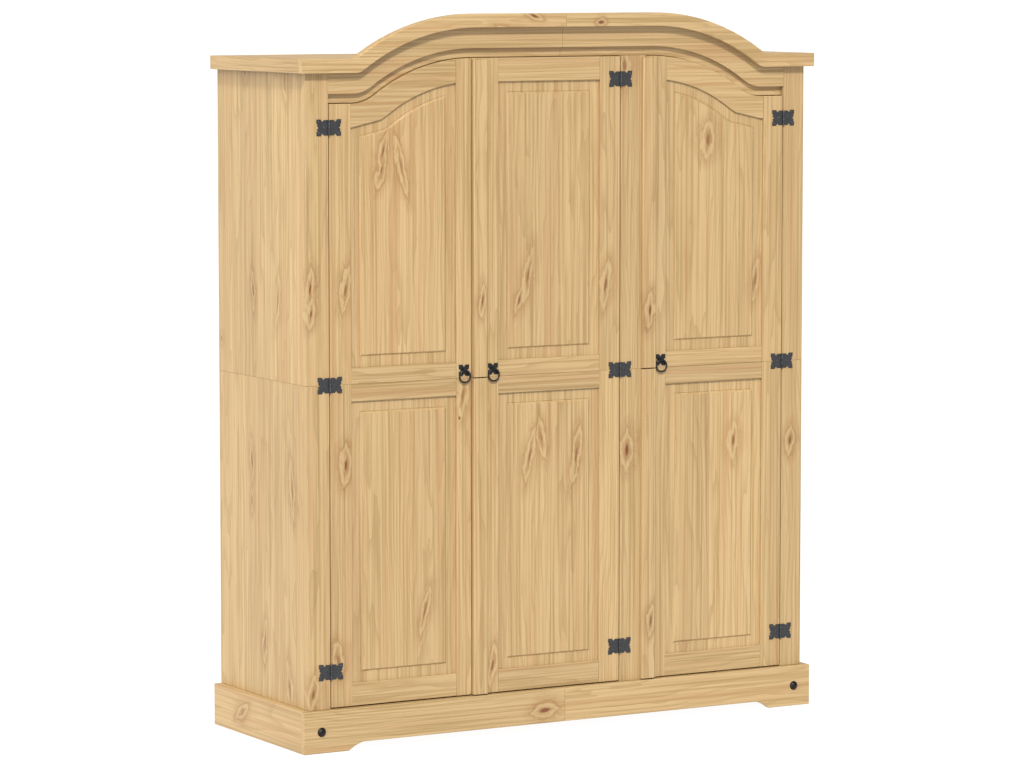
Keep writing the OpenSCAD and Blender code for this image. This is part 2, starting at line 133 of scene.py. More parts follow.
def ranged(
    tree: bpy.types.NodeTree,
    value: bpy.types.NodeSocket,
    source: Point = (0.0, 1.0),
    target: Point = (0.0, 1.0),
    curve: str = "LINEAR",
) -> bpy.types.NodeSocket:
    """Maps one range onto another, and holds what lies outside it at the ends.

    Args:
        tree: The node tree that gets it.
        value: What is mapped.
        source: The range that it is mapped from. It may run downwards.
        target: The range that it is mapped to.
        curve: How it goes from one end to the other.

    Returns:
        The socket of the result.
    """
    return add(
        tree,
        "ShaderNodeMapRange",
        {"interpolation_type": curve},
        {
            "Value": value,
            "From Min": source[0],
            "From Max": source[1],
            "To Min": target[0],
            "To Max": target[1],
        },
    ).outputs[0]


def noise(
    tree: bpy.types.NodeTree,
    place: bpy.types.NodeSocket,
    density: Triple,
    detail: float,
    roughness: float = 0.5,
) -> bpy.types.NodeSocket:
    """Adds noise that can be drawn out along an axis.

    Args:
        tree: The node tree that gets it.
        place: Where each point lies, in metres.
        density: Grains of the noise in a metre, along each axis.
        detail: How many finer layers it has.
        roughness: How strong the finer layers are.

    Returns:
        The socket of the noise, from 0 to 1.
    """
    drawn = add(
        tree, "ShaderNodeVectorMath", {"operation": "MULTIPLY"}, {0: place, 1: density}
    ).outputs[0]
    return add(
        tree,
        "ShaderNodeTexNoise",
        inputs={"Vector": drawn, "Scale": 1.0, "Detail": detail, "Roughness": roughness},
    ).outputs[0]


def blend(tree: bpy.types.NodeTree, amount: Any, first: Any, second: Any) -> bpy.types.NodeSocket:
    """Goes from one colour to another.

    Args:
        tree: The node tree that gets it.
        amount: How far it goes, from 0 to 1.
        first: The colour at 0.
        second: The colour at 1.

    Returns:
        The socket of the colour.
    """
    return add(
        tree, "ShaderNodeMix", {"data_type": "RGBA"}, {0: amount, 6: first, 7: second}
    ).outputs[2]


def relief(tree: bpy.types.NodeTree, height: bpy.types.NodeSocket, strength: float) -> bpy.types.NodeSocket:
    """Turns a pattern into small dents, up to 0.4 mm deep.

    Args:
        tree: The node tree that gets it.
        height: The pattern, high where the surface stands out.
        strength: How much of the relief shows.

    Returns:
        The socket of the surface's direction.
    """
    depth = 0.4 * MM
    return add(
        tree, "ShaderNodeBump", inputs={"Strength": strength, "Distance": depth, "Height": height}
    ).outputs[0]


def bare_material(name: str) -> bpy.types.Material:
    """Makes a material whose node tree is empty."""
    material = bpy.data.materials.new(name)
    material.use_nodes = True
    material.node_tree.nodes.clear()
    return material


def surface(tree: bpy.types.NodeTree, inputs: dict[str, Any]) -> None:
    """Ends a material with its shader.

    Args:
        tree: The node tree that gets it.
        inputs: The shader's own values and links.
    """
    shader = add(tree, "ShaderNodeBsdfPrincipled", inputs=inputs)
    add(tree, "ShaderNodeOutputMaterial", inputs={"Surface": shader.outputs[0]})


def seed_of(name: str) -> float:
    """Gives each name its own steady number from 0 to 97."""
    return sum((k + 1) * ord(c) for k, c in enumerate(name)) * 0.137 % 97


class Grain(Enum):
    """How a board lies: the frame's axes across it, through it and along its grain."""

    UPRIGHT_FRONT = ("X", "Y", "Z")
    UPRIGHT_SIDE = ("Y", "X", "Z")
    LEVEL_FRONT = ("Z", "Y", "X")
    LEVEL_SIDE = ("Z", "X", "Y")
    SHELF = ("Y", "Z", "X")


@dataclass(frozen=True)
class Knot:
    """A knot in a board's face and the grain that flows round it.

    Attributes:
        across: Its place across the board, in the frame.
        along: Its place along the grain, in the frame.
        width: Width of its core.
        length: Length of its core along the grain.
        lean: Tilt of the core and the flame, in degrees.
        flame: Size of the disturbed grain, as a multiple of the core.
        dark: How dark the core is, from 0 to 1.
        deep: Where it lies through the board, or None where it goes through every board in reach.
    """

    across: float
    along: float
    width: float = 7.0
    length: float = 20.0
    lean: float = 0.0
    flame: float = 5.0
    dark: float = 0.75
    deep: float | None = None

    def fields(
        self, tree: bpy.types.NodeTree, board: bpy.types.NodeSocket, stray: bpy.types.NodeSocket
    ) -> tuple[bpy.types.NodeSocket, bpy.types.NodeSocket]:
        """Measures the points of a board against the knot.

        Args:
            tree: The node tree of the board's material.
            board: Where each point lies: across the board, through it and along its grain.
            stray: How ragged the flame's edge is there.

        Returns:
            How dark the core is, and how far from the knot the flame is: 1 at its edge.
        """
        deep, reach = (0.0, 5.0) if self.deep is None else (self.deep * MM, 0.35)
        half_width, half_length = self.width * MM / 2, self.length * MM / 2
        core, flame = (
            add(
                tree,
                "ShaderNodeMapping",
                {"vector_type": "TEXTURE"},
                {
                    "Vector": board,
                    "Location": (self.across * MM, deep, self.along * MM),
                    "Rotation": (0.0, math.radians(self.lean), 0.0),
                    "Scale": (half_width * wide, reach, half_length * long),
                },
            ).outputs[0]
            for wide, long in ((1.0, 1.0), (self.flame * 1.15, self.flame * 0.9))
        )
        far = add(tree, "ShaderNodeVectorMath", {"operation": "LENGTH"}, {0: core}).outputs["Value"]
        dark = ranged(tree, far, (1.5, 0.3), (0.0, min(1.0, 1.35 * self.dark)), "SMOOTHERSTEP")
        spot = add(tree, "ShaderNodeSeparateXYZ", inputs={0: flame}).outputs
        sideways = maths(tree, "ABSOLUTE", maths(tree, "MULTIPLY_ADD", stray, 0.62, spot[0]))
        tapered = maths(tree, "MULTIPLY_ADD", spot[2], spot[2], sideways)
        return dark, maths(tree, "MULTIPLY_ADD", spot[1], spot[1], tapered)


@dataclass(frozen=True)
class WaxedPine:
    """Planed Scots pine, oiled and waxed: honey coloured, satin, with growth lines and knots.

    Planing leaves the early wood a hair lower than the late wood, so the lines catch the light,
    and the wax leaves a soft sheen that breaks up along the grain.

    Attributes:
        name: The material's name.
        grain: How the board lies.
        stave: Width of the strips that a wide board is glued from.
        knots: Its knots.
        tone: Its brightness.
        early: Colour of the pale early wood.
        late: Colour of the growth lines.
        rosy: Colour of the broad warm streaks.
        halo: Colour of the clear wood inside a knot's flame.
        flare: Colour of the brown wood round the core and at the flame's rim.
        heart: Colour of a knot's core and of the pores.
        ring: Distance between two growth lines.
        wander: How far the growth lines drift along the board.
        pith_reach: How far the log's pith may lie beside the middle of a stave.
        pith_depth: Where the pith lies through the board, in the frame.
        push: How far a knot pushes the growth lines out.
    """

    name: str
    grain: Grain
    stave: float = 300.0
    knots: tuple[Knot, ...] = ()
    tone: float = 1.0
    early: str = "#ae9369"
    late: str = "#896d40"
    rosy: str = "#a07951"
    halo: str = "#b49d71"
    flare: str = "#835c33"
    heart: str = "#683618"
    ring: float = 4.2
    wander: float = 34.0
    pith_reach: float = 160.0
    pith_depth: float = 90.0
    push: float = 22.0

    def make(self) -> bpy.types.Material:
        """Builds the material.

        Returns:
            The finished material.
        """
        material = bare_material(self.name)
        tree = material.node_tree
        seed = seed_of(self.name)
        place = add(tree, "ShaderNodeTexCoord").outputs["Object"]
        split = add(tree, "ShaderNodeSeparateXYZ", inputs={0: place})
        across, through, along = (split.outputs[axis] for axis in self.grain.value)
        board = add(tree, "ShaderNodeCombineXYZ", inputs={0: across, 1: through, 2: along}).outputs[0]

        # Each stave of a glued-up board has its own number, and so its own tone and growth lines
        share = maths(tree, "DIVIDE", across, self.stave * MM)
        index = maths(tree, "FLOOR", maths(tree, "ADD", share, seed))
        chance = add(
            tree, "ShaderNodeTexWhiteNoise", {"noise_dimensions": "1D"}, {"W": index}
        ).outputs["Color"]
        luck = add(tree, "ShaderNodeSeparateColor", inputs={0: chance}).outputs
        jump = add(
            tree,
            "ShaderNodeVectorMath",
            {"operation": "MULTIPLY_ADD"},
            {0: chance, 1: (3.0, 3.0, 9.0), 2: board},
        ).outputs[0]

        # The pith of each stave's log, which the growth lines circle while they drift along the board
        pith = ranged(tree, luck[0], target=(-self.pith_reach * MM, self.pith_reach * MM))
        middle = maths(tree, "ADD", index, 0.5 - seed)
        centre = maths(tree, "MULTIPLY_ADD", middle, self.stave * MM, pith)
        offset = maths(tree, "SUBTRACT", across, centre)
        behind = maths(tree, "SUBTRACT", through, self.pith_depth * MM)
        spoke = add(tree, "ShaderNodeCombineXYZ", inputs={0: offset, 1: behind}).outputs[0]
        radius = add(tree, "ShaderNodeVectorMath", {"operation": "LENGTH"}, {0: spoke}).outputs["Value"]
        sway = noise(tree, jump, (11.0, 11.0, 1.3), 3.0, 0.55)
        pushed = maths(tree, "MULTIPLY_ADD", sway, self.wander * MM, radius)

        flames: list[Layer] = []
        cores: list[Layer] = []
        if self.knots:
            core, spindle = self.knot_fields(tree, board, jump)
            bent = ranged(tree, spindle, (1.35, 0.0), curve="SMOOTHSTEP")
            pushed = maths(tree, "MULTIPLY_ADD", bent, self.push * MM, pushed)
            edge = maths(tree, "ABSOLUTE", maths(tree, "SUBTRACT", spindle, 0.84))
            rim = maths(tree, "MULTIPLY_ADD", sway, 0.9, edge)
            flames = [
                (spindle, 2.3, 0.95, 0.26, self.flare),
                (spindle, 0.90, 0.55, 0.55, self.halo),
                (spindle, 0.60, 0.08, 0.70, self.flare),
                (rim, 0.74, 0.30, 0.60, self.flare),
            ]
            cores = [(core, 0.0, 1.0, 1.0, self.heart)]
        count = maths(tree, "DIVIDE", pushed, self.ring * MM)
        line = maths(tree, "POWER", maths(tree, "FRACT", count), 2.6)

        # Streaks 6 mm and 20 mm wide and pores 1 mm wide, each drawn out along the grain
        fine, broad, pores = (
            noise(tree, jump, (density, density, stretch), 2.0, 0.6)
            for density, stretch in ((170.0, 1.6), (48.0, 0.9), (900.0, 24.0))
        )

        # Colour, from the palest early wood to the heart of a knot
        layers: list[Layer] = [
            (line, 0.0, 1.0, 0.42, self.late),
            (fine, 0.42, 0.70, 0.70, self.late),
            (broad, 0.46, 0.72, 0.48, self.rosy),
            *flames,
            (pores, 0.60, 0.80, 0.34, self.heart),
            *cores,
        ]
        shade: Any = linear(self.early)
        for source, start, full, most, colour in layers:
            amount = ranged(tree, source, (start, full), (0.0, most), "SMOOTHSTEP")
            shade = blend(tree, amount, shade, linear(colour))
        bright = ranged(tree, luck[1], target=(0.94 * self.tone, 1.05 * self.tone))
        toned = add(
            tree, "ShaderNodeVectorMath", {"operation": "SCALE"}, {0: shade, "Scale": bright}
        ).outputs[0]

        # Wax: smoother on the dense late wood, duller on the open early wood
        sheen = ranged(tree, fine, (0.3, 0.7), (0.50, 0.38))
        planed = relief(tree, maths(tree, "MULTIPLY_ADD", line, 0.5, fine), 0.35)
        surface(tree, {"Base Color": toned, "Roughness": sheen, "IOR": 1.48, "Normal": planed})
        return material

    def knot_fields(
        self, tree: bpy.types.NodeTree, board: bpy.types.NodeSocket, jump: bpy.types.NodeSocket
    ) -> tuple[bpy.types.NodeSocket, bpy.types.NodeSocket]:
        """Joins the fields of all the knots: dark cores inside spindles of bent grain.

        Args:
            tree: The node tree of the material.
            board: Where each point lies: across the board, through it and along its grain.
            jump: The same, moved to a place of its own for each stave.

        Returns:
            How dark the darkest core is, and how far away the nearest flame is.
        """
        ragged = noise(tree, jump, (60.0, 60.0, 22.0), 3.0, 0.6)
        stray = ranged(tree, ragged, target=(-1.3, 1.3))
        core, spindle = self.knots[0].fields(tree, board, stray)
        for knot in self.knots[1:]:
            next_core, next_spindle = knot.fields(tree, board, stray)
            core = maths(tree, "MAXIMUM", core, next_core)
            spindle = maths(tree, "MINIMUM", spindle, next_spindle)
        return core, spindle


@dataclass(frozen=True)
class PinePlywood(WaxedPine):
    """Thin pine plywood, sanded: a rotary-cut face veneer.

    Peeling the veneer off a turning log draws the growth lines out into broad, slow waves, and
    the face is a little paler than the boards.
    """

    tone: float = 1.06
    ring: float = 19.0
    wander: float = 210.0


@dataclass(frozen=True)
class BlackIron:
    """Forged mild steel, blackened in oil: near black, with soft hammer marks and a waxy gloss.

    Attributes:
        name: The material's name.
        low: Its darkest colour.
        high: Its palest colour, where the oil has burnt off.
        hammer: Distance between hammer marks.
        gloss: Roughness of the smoothest and of the dullest places.
    """

    name: str = "blackened_iron"
    low: str = "#222224"
    high: str = "#4d4e50"
    hammer: float = 5.0
    gloss: Point = (0.34, 0.52)

    def make(self) -> bpy.types.Material:
        """Builds the material.

        Returns:
            The finished material.
        """
        material = bare_material(self.name)
        tree = material.node_tree
        place = add(tree, "ShaderNodeTexCoord").outputs["Object"]
        dents = add(
            tree,
            "ShaderNodeTexVoronoi",
            {"feature": "SMOOTH_F1"},
            {"Vector": place, "Scale": 1000 / self.hammer, "Smoothness": 0.6},
        ).outputs["Distance"]
        soot = noise(tree, place, (260.0, 260.0, 260.0), 3.0, 0.6)
        shade = blend(tree, soot, linear(self.low), linear(self.high))
        gloss = ranged(tree, soot, (0.3, 0.7), self.gloss)
        beaten = relief(tree, dents, 0.5)
        surface(tree, {"Base Color": shade, "Metallic": 0.6, "Roughness": gloss, "Normal": beaten})
        return material


@dataclass(frozen=True)
class DrawnSteel:
    """Drawn steel tube, bright zinc plated: pale grey, with fine die lines along its length.

    Attributes:
        name: The material's name.
        tint: Its colour.
    """

    name: str = "drawn_steel_tube"
    tint: str = "#b9bcbf"

    def make(self) -> bpy.types.Material:
        """Builds the material.

        Returns:
            The finished material.
        """
        material = bare_material(self.name)
        tree = material.node_tree
        place = add(tree, "ShaderNodeTexCoord").outputs["Object"]
        gloss = ranged(tree, noise(tree, place, (6.0, 1500.0, 1500.0), 1.0), target=(0.18, 0.36))
        surface(tree, {"Base Color": linear(self.tint), "Metallic": 1.0, "Roughness": gloss})
        return material


def dress(piece: bpy.types.Object, material: bpy.types.Material) -> None:
    """Gives every material slot of a piece one material.

    Args:
        piece: The piece to dress.
        material: Its finish.
    """
    if not piece.material_slots:
        piece.data.materials.append(material)
    for held in piece.material_slots:
        held.material = material


def ease(piece: bpy.types.Object, width: float, segments: int = 2) -> None:
    """Rounds the long edges of a piece, as a plane or a sander leaves them.

    Args:
        piece: The piece to ease.
        width: Width of the rounding, in millimetres.
        segments: How many faces the rounding has.
    """
    weld = piece.modifiers.new("join_faces", "WELD")
    weld.merge_threshold = 10 * SAME_POINT
    plain = piece.modifiers.new("plain_faces", "DECIMATE")
    plain.decimate_type = "DISSOLVE"
    plain.angle_limit = math.radians(0.5)
    bevel = piece.modifiers.new("eased_edges", "BEVEL")
    bevel.width = width * MM
    bevel.segments = segments
    bevel.limit_method = "ANGLE"
    bevel.angle_limit = math.radians(32)
    bevel.use_clamp_overlap = False
    bevel.harden_normals = True


def new_piece(name: str, mesh: bmesh.types.BMesh, smooth: bool) -> bpy.types.Object:
    """Turns a mesh in hand into a linked object.

    Args:
        name: The piece's name.
        mesh: Its faces, in metres in the row frame. It is freed.
        smooth: Whether its faces are shaded smooth.

    Returns:
        The new object.
    """
    data = bpy.data.meshes.new(name)
    bmesh.ops.recalc_face_normals(mesh, faces=mesh.faces)
    mesh.to_mesh(data)
    mesh.free()
    for face in data.polygons:
        face.use_smooth = smooth
    piece = bpy.data.objects.new(name, data)
    bpy.context.scene.collection.objects.link(piece)
    return piece


@dataclass
class Boards:
    """CAD boards that keep their shape and get eased edges and their own piece of pine.

    Attributes:
        grain: How the boards lie.
        nodes: Their CAD nodes.
        stave: Width of the strips that a wide board is glued from.
        edge: Rounding of the edges.
        knots: The knots of each node.
        tones: Brightness of each node, where it isn't 1.
        finish: The finish that the boards get.
        surface: What the finish is called, before the node's name.
    """

    grain: Grain
    nodes: tuple[str, ...]
    stave: float = 300.0
    edge: float = 1.2
    knots: dict[str, tuple[Knot, ...]] = field(default_factory=dict)
    tones: dict[str, float] = field(default_factory=dict)
    finish: type[WaxedPine] = WaxedPine
    surface: str = "waxed_pine"

    def build(self) -> None:
        """Dresses every node of the set."""
        for node in self.nodes:
            finish = self.finish(
                name=f"{self.surface}_{node}",
                grain=self.grain,
                stave=self.stave,
                knots=self.knots.get(node, ()),
                tone=self.tones.get(node, self.finish.tone),
            )
            piece = frame["nodes"][node]
            ease(piece, self.edge)
            dress(piece, finish.make())
            LOG.info("board %s, %d knots", node, len(finish.knots))


@dataclass
class FieldedPanel:
    """A door panel whose raised field runs down to its margin in a small moulding.

    Attributes:
        door: The door that holds it.
        half: "upper" or "lower".
        knots: Its knots.
        stave: Width of the strips that it is glued from.
        hidden: How far its edge runs past the field, into the frame's groove.
        moulding: Steps of the moulding: outwards from the field's edge, and down from its face.
    """

    door: str
    half: str
    knots: tuple[Knot, ...] = ()
    stave: float = 92.0
    hidden: float = 35.0
    moulding: tuple[Point, ...] = (
        (-3.2, 0.0),
        (-2.7, 0.15),
        (1.6, 4.4),
        (2.2, 4.6),
        (3.4, 3.5),
    )

    def outline(self, node: str) -> list[Point]:
        """Reads the field's edge from the CAD panel.

        Args:
            node: The CAD panel.

        Returns:
            The edge as x and z in millimetres, counter-clockwise seen from the front.
        """
        mesh = bmesh.new()
        mesh.from_mesh(frame["nodes"][node].data)
        bmesh.ops.remove_doubles(mesh, verts=mesh.verts, dist=SAME_POINT)
        front = min(v.co.y for v in mesh.verts)
        level = front + 10 * SAME_POINT
        field_faces = {f for f in mesh.faces if all(v.co.y < level for v in f.verts)}
        rim = [e for e in mesh.edges if sum(f in field_faces for f in e.link_faces) == 1]
        nexts: dict[Any, list[Any]] = {}
        for edge in rim:
            a, b = edge.verts
            nexts.setdefault(a, []).append(b)
            nexts.setdefault(b, []).append(a)
        start = rim[0].verts[0]
        loop, before, now = [start], None, start
        while True:
            step = next(v for v in nexts[now] if v is not before)
            if step is start:
                break
            loop.append(step)
            before, now = now, step
        points = [(v.co.x / MM, v.co.z / MM) for v in loop]
        mesh.free()
        turned = sum(
            points[k - 1][0] * points[k][1] - points[k][0] * points[k - 1][1]
            for k in range(len(points))
        )
        return points if turned > 0 else points[::-1]

    @staticmethod
    def moved_out(points: Sequence[Point], distance: float) -> list[Point]:
        """Moves an outline outwards, with mitred corners.

        Args:
            points: A counter-clockwise outline.
            distance: How far outwards, in millimetres. Negative moves it inwards.

        Returns:
            The moved outline, with as many points.
        """
        moved = []
        for k, point in enumerate(points):
            here = Vector(point)
            before = (here - Vector(points[k - 1])).normalized()
            after = (Vector(points[(k + 1) % len(points)]) - here).normalized()
            first, second = Vector((before.y, -before.x)), Vector((after.y, -after.x))
            mitre = (first + second) / max(1.0 + first.dot(second), 0.2)
            moved.append(tuple(here + mitre * distance))
        return moved

    def build(self) -> bpy.types.Object:
        """Builds the panel in place of its CAD node.

        Returns:
            The panel.
        """
        node = f"{self.door}_door_panel_{self.half}"
        low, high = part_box(node)
        edge = self.outline(node)
        front, back = low.y / MM, high.y / MM
        rings = [(out, front + down) for out, down in self.moulding]
        rings += [(self.hidden, front + self.moulding[-1][1]), (self.hidden, back)]
        mesh = bmesh.new()
        loops = [
            [mesh.verts.new((x * MM, y * MM, z * MM)) for x, z in self.moved_out(edge, out)]
            for out, y in rings
        ]
        for inner, outer in zip(loops, loops[1:]):
            for k in range(len(inner)):
                mesh.faces.new((inner[k - 1], inner[k], outer[k], outer[k - 1]))
        mesh.faces.new(loops[0])
        mesh.faces.new(loops[-1][::-1])
        piece = new_piece(f"fielded_panel_{self.door}_{self.half}", mesh, smooth=False)
        finish = WaxedPine(
            name=f"waxed_pine_{node}",
            grain=Grain.UPRIGHT_FRONT,
            stave=self.stave,
            knots=self.knots,
        )
        dress(piece, finish.make())
        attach(piece, f"{self.door}_door")
        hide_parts(node)
        LOG.info("panel %s, %d points round its field", node, len(edge))
        return piece


@dataclass
class SlottedScrews:
    """Slotted round-head screws.

    Attributes:
        head: Diameter of a head.
        rise: Height of a head.
        slot_w: Width of the slot.
        slot_d: Depth of the slot.
        sides: How many faces go round a head.
        rings: Where the rings of faces lie on a head, as shares of its radius.
    """

    head: float = 6.4
    rise: float = 1.3
    slot_w: float = 1.1
    slot_d: float = 0.8
    sides: int = 24
    rings: tuple[float, ...] = (0.12, 0.3, 0.45, 0.6, 0.75, 0.88, 1.0)

    def head_mesh(self, mesh: bmesh.types.BMesh, x: float, y: float, z: float, turn: float) -> None:
        """Adds one head to a mesh.

        Args:
            mesh: The mesh that gets it.
            x: Its place from left to right.
            y: The leaf's face.
            z: Its height.
            turn: Angle of its slot, in degrees.
        """
        spin = Matrix.Rotation(math.radians(turn), 2)
        loops = []
        for share in self.rings:
            loop = []
            for k in range(self.sides):
                angle = 2 * math.pi * k / self.sides
                u, v = share * math.cos(angle), share * math.sin(angle)
                out = self.rise * math.sqrt(max(0.0, 1 - share * share))
                if abs(v) * self.head / 2 < self.slot_w / 2:
                    out = max(0.0, out - self.slot_d)
                flat = spin @ Vector((u, v)) * self.head / 2
                loop.append(mesh.verts.new(((x + flat.x) * MM, (y - out) * MM, (z + flat.y) * MM)))
            loops.append(loop)
        for inner, outer in zip(loops, loops[1:]):
            for k in range(self.sides):
                mesh.faces.new((inner[k - 1], inner[k], outer[k], outer[k - 1]))
        mesh.faces.new(loops[0])

    def ridden(self, mesh: bmesh.types.BMesh, name: str, body: str) -> bpy.types.Object:
        """Turns a mesh of heads into one piece.

        Args:
            mesh: The heads.
            name: The piece's name.
            body: The body that it rides on.

        Returns:
            The piece.
        """
        piece = new_piece(name, mesh, smooth=True)
        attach(piece, body)
        return piece


@dataclass
class HingeScrews(SlottedScrews):
    """The screws of every butterfly hinge.

    Attributes:
        places: Screws of one leaf: distance from the pin and height from the leaf's middle.
    """

    places: tuple[Point, ...] = ((13.0, 0.0), (27.0, 13.5), (27.0, -13.5))

    def leaves(self, node: str) -> list[tuple[float, float, float, float]]:
        """Finds the leaves of a CAD node.

        Args:
            node: A node of hinge leaves.

        Returns:
            For each leaf its pin's x, its face's y, its middle's z and its direction, -1 or 1.
        """
        mesh = bmesh.new()
        mesh.from_mesh(frame["nodes"][node].data)
        bmesh.ops.remove_doubles(mesh, verts=mesh.verts, dist=SAME_POINT)
        found, seen = [], set()
        for vert in mesh.verts:
            if vert in seen:
                continue
            island, stack = [], [vert]
            seen.add(vert)
            while stack:
                now = stack.pop()
                island.append(now.co)
                for edge in now.link_edges:
                    other = edge.other_vert(now)
                    if other not in seen:
                        seen.add(other)
                        stack.append(other)
            xs, ys, zs = ([c[k] / MM for c in island] for k in range(3))
            pin = min(PIN_LINES, key=lambda p: min(abs(p - min(xs)), abs(p - max(xs))))
            way = 1.0 if max(xs) - pin > pin - min(xs) else -1.0
            found.append((pin, max(ys) - LEAF_THICKNESS, (min(zs) + max(zs)) / 2, way))
        mesh.free()
        return found

    def build(self, node: str, body: str) -> bpy.types.Object:
        """Builds the screws of one node's leaves.

        Args:
            node: The CAD node of the leaves.
            body: The body that they ride on.

        Returns:
            The screws, as one piece.
        """
        mesh = bmesh.new()
        leaves = self.leaves(node)
        for k, (pin, face, middle, way) in enumerate(leaves):
            for n, (out, up) in enumerate(self.places):
                self.head_mesh(mesh, pin + way * out, face, middle + up, 37.0 * k + 71.0 * n)
        LOG.info("screws of %s: %d leaves", node, len(leaves))
        return self.ridden(mesh, f"hinge_screws_{body}", body)


@dataclass
class PlateScrews(SlottedScrews):
    """The small slotted screws in the four corners of every pull plate.

    Attributes:
        corner: How far each screw is from the plate's middle, sideways and upwards.
        plate: Thickness of the plate.
    """

    head: float = 3.8
    rise: float = 0.9
    slot_w: float = 0.7
    slot_d: float = 0.5
    corner: float = 9.6
    plate: float = 1.6

    def build(self, node: str, body: str) -> bpy.types.Object:
        """Builds the screws of one plate.

        Args:
            node: The CAD node of the plate.
            body: The body that they ride on.

        Returns:
            The screws, as one piece.
        """
        low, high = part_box(node)
        middle = (low + high) / 2 / MM
        mesh = bmesh.new()
        for n, (side, up) in enumerate(((-1, -1), (-1, 1), (1, -1), (1, 1))):
            x, z = middle.x + side * self.corner, middle.z + up * self.corner
            self.head_mesh(mesh, x, high.y / MM - self.plate, z, 23.0 + 61.0 * n)
        LOG.info("screws of %s: 4", node)
        return self.ridden(mesh, f"plate_screws_{body}", body)


@dataclass
class Ironwork:
    """Hinges, ring pulls and studs: the CAD shapes in blackened iron, with their screws.

    Attributes:
        edge: Rounding of the cut plates' edges.
    """

    edge: float = 0.3

    def build(self) -> None:
        """Dresses the CAD ironwork and adds the screws."""
        iron = BlackIron().make()
        worn = BlackIron(
            name="blackened_iron_pulls", low="#141416", high="#2f3032", hammer=4.0, gloss=(0.26, 0.40)
        ).make()
        domed = BlackIron(
            name="polished_black_studs", low="#12110f", high="#26241f", hammer=6.0, gloss=(0.12, 0.22)
        ).make()
        finishes = {"hinge_frame_leaves": iron, "hinge_pins": iron, "rail_sockets": iron}
        finishes["plinth_studs"] = domed
        for door in DOORS:
            finishes[f"{door}_door_hinge_leaves"] = iron
            finishes[f"{door}_door_pull_plate"] = worn
            finishes[f"{door}_door_ring"] = worn
        for node, finish in finishes.items():
            dress(frame["nodes"][node], finish)
            if node.endswith(("leaves", "pull_plate")):
                ease(frame["nodes"][node], self.edge, 1)
            LOG.info("iron %s", node)
        screws = HingeScrews()
        dress(screws.build("hinge_frame_leaves", "cabinet"), iron)
        for door in DOORS:
            dress(screws.build(f"{door}_door_hinge_leaves", f"{door}_door"), iron)
            dress(PlateScrews().build(f"{door}_door_pull_plate", f"{door}_door"), worn)


@dataclass
class Studio:
    """Pale floor, soft light from the upper left and the camera.

    Attributes:
        eye: The camera's place, in metres.
        tilt: Its angle from straight down, in degrees.
        turn: Its angle about Z, in degrees.
        lens: Its focal length on a 36 mm sensor.
        clip: How far it sees, in metres.
        lights: Name, direction towards it, strength, spread in degrees and colour of each light.
        sky: Strength of the light from all round.
        paper: Colour of the floor.
        paper_glow: How much light the floor gives by itself.
        paper_reach: How far the floor goes each way, in metres.
    """

    eye: Triple = (-5.5737, -9.7310, 1.9788)
    tilt: float = 84.367
    turn: float = -29.742
    lens: float = 151.69
    clip: float = 1500.0
    lights: tuple[tuple[str, Triple, float, float, str], ...] = (
        ("key_light", (-0.30, -0.70, 0.66), 3.6, 8.0, "#ffffff"),
        ("left_fill", (-1.0, -0.05, 0.34), 3.95, 110.0, "#fffef4"),
    )
    sky: float = 0.46
    paper: str = "#404040"
    paper_glow: float = 0.96
    paper_reach: float = 400.0

    def build(self) -> None:
        """Builds the floor, the light and the camera."""
        bpy.context.scene.view_settings.view_transform = "Standard"
        self.lay_floor()
        self.hang_lights()
        self.place_camera()
        LOG.info("studio ready")

    def lay_floor(self) -> None:
        """Lays a sweep of white paper that glows a little, so that shadows on it stay faint."""
        mesh = bmesh.new()
        bmesh.ops.create_grid(mesh, x_segments=1, y_segments=1, size=self.paper_reach)
        floor = new_piece("studio_floor", mesh, smooth=False)
        paper = bare_material("white_paper_sweep")
        surface(
            paper.node_tree,
            {
                "Base Color": linear(self.paper),
                "Roughness": 0.9,
                "Emission Color": linear("#ffffff"),
                "Emission Strength": self.paper_glow,
            },
        )
        dress(floor, paper)

    def hang_lights(self) -> None:
        """Hangs the lights and the soft light from all round."""
        scene = bpy.context.scene
        world = bpy.data.worlds.new("studio_light")
        world.use_nodes = True
        world.node_tree.nodes.clear()
        glow = add(
            world.node_tree,
            "ShaderNodeBackground",
            inputs={"Color": linear("#ffffff"), "Strength": self.sky},
        )
        add(world.node_tree, "ShaderNodeOutputWorld", inputs={"Surface": glow.outputs[0]})
        scene.world = world

        for name, way, strength, spread, colour in self.lights:
            lamp = bpy.data.lights.new(name, "SUN")
            lamp.energy = strength
            lamp.color = linear(colour)[:3]
            lamp.angle = math.radians(spread)
            light = bpy.data.objects.new(name, lamp)
            scene.collection.objects.link(light)
            light.rotation_euler = (-Vector(way)).to_track_quat("-Z", "Y").to_euler()

    def place_camera(self) -> None:
        """Places the camera."""
        scene = bpy.context.scene
        sight = bpy.data.cameras.new("camera")
        sight.lens = self.lens
        sight.sensor_width = 36.0
        sight.clip_end = self.clip
        camera = bpy.data.objects.new("camera", sight)
        scene.collection.objects.link(camera)
        camera.location = self.eye
        camera.rotation_euler = (math.radians(self.tilt), 0.0, math.radians(self.turn))
        scene.camera = camera


